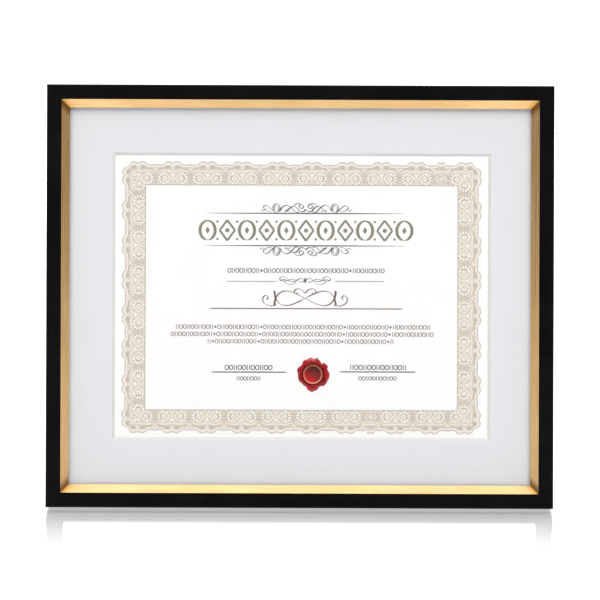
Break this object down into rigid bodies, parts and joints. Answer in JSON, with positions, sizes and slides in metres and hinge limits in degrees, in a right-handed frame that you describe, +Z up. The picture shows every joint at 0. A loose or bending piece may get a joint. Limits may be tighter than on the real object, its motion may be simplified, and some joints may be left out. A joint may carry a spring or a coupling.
{
  "type": "certificate frame",
  "caption": "Landscape picture frame, black rails and gold slips, with a matted certificate under glass, turn buttons, sawtooth hanger and a folding easel leg.",
  "frame": {"origin": "on the table, in the middle of the bounding box seen from above, with the frame leaning back on its open easel leg", "axes": "+X to the right as seen from the front, along the frame's width; +Y to the rear, towards the leg's foot; +Z up. The face leans back 14 degrees from upright and looks to -Y"},
  "size_m": [0.36, 0.1138, 0.2957],
  "materials": {
    "black_lacquer": "satin black lacquer",
    "gold_leaf": "gilded, satin",
    "clear_glass": "clear",
    "white_mat_board": "matte",
    "printed_paper": "matte, printed",
    "red_wax": "waxy",
    "paper_tape": "matte",
    "grey_card": "matte",
    "fibreboard": "raw hardboard",
    "black_fibreboard": "matte black paper",
    "zinc_steel": "zinc plated",
    "brass_plate": "brass plated"
  },
  "bodies": {
    "frame": {"top_rail": "black_lacquer", "bottom_rail": "black_lacquer", "left_rail": "black_lacquer", "right_rail": "black_lacquer", "top_slip": "gold_leaf", "bottom_slip": "gold_leaf", "left_slip": "gold_leaf", "right_slip": "gold_leaf", "glazing": "clear_glass", "mat_board": "white_mat_board", "certificate": "printed_paper", "wax_seal": "red_wax", "hinge_tapes": "paper_tape", "filler_board": "grey_card", "backing_board": "fibreboard", "v_nails": "zinc_steel", "button_screws": "zinc_steel", "sawtooth_hanger": "brass_plate", "hanger_nails": "zinc_steel", "hinge_base_leaf": "zinc_steel", "hinge_pin": "zinc_steel", "base_rivets": "zinc_steel"},
    "leg": {"easel_leg": "black_fibreboard", "hinge_leg_leaf": "zinc_steel", "leg_rivets": "zinc_steel"},
    "top_left_button_body": {"top_left_button": "zinc_steel"},
    "top_right_button_body": {"top_right_button": "zinc_steel"},
    "bottom_left_button_body": {"bottom_left_button": "zinc_steel"},
    "bottom_right_button_body": {"bottom_right_button": "zinc_steel"},
    "left_button_body": {"left_button": "zinc_steel"},
    "right_button_body": {"right_button": "zinc_steel"}
  },
  "joints": [
    {"name": "leg_fold", "type": "hinge", "parent": "frame", "child": "leg", "pos_m": [0, 0.01707, 0.21305], "axis": [1, 0, 0], "range_deg": [-24, 0]},
    {"name": "top_left_button_turn", "type": "hinge", "parent": "frame", "child": "top_left_button_body", "pos_m": [-0.11, 0.03358, 0.28631], "axis": [0, 0.9703, -0.2419], "continuous": true},
    {"name": "top_right_button_turn", "type": "hinge", "parent": "frame", "child": "top_right_button_body", "pos_m": [0.11, 0.03358, 0.28631], "axis": [0, 0.9703, -0.2419], "continuous": true},
    {"name": "bottom_left_button_turn", "type": "hinge", "parent": "frame", "child": "bottom_left_button_body", "pos_m": [-0.11, -0.03661, 0.00478], "axis": [0, 0.9703, -0.2419], "continuous": true},
    {"name": "bottom_right_button_turn", "type": "hinge", "parent": "frame", "child": "bottom_right_button_body", "pos_m": [0.11, -0.03661, 0.00478], "axis": [0, 0.9703, -0.2419], "continuous": true},
    {"name": "left_button_turn", "type": "hinge", "parent": "frame", "child": "left_button_body", "pos_m": [-0.17508, -0.00152, 0.14554], "axis": [0, 0.9703, -0.2419], "continuous": true},
    {"name": "right_button_turn", "type": "hinge", "parent": "frame", "child": "right_button_body", "pos_m": [0.17508, -0.00152, 0.14554], "axis": [0, 0.9703, -0.2419], "continuous": true}
  ]
}
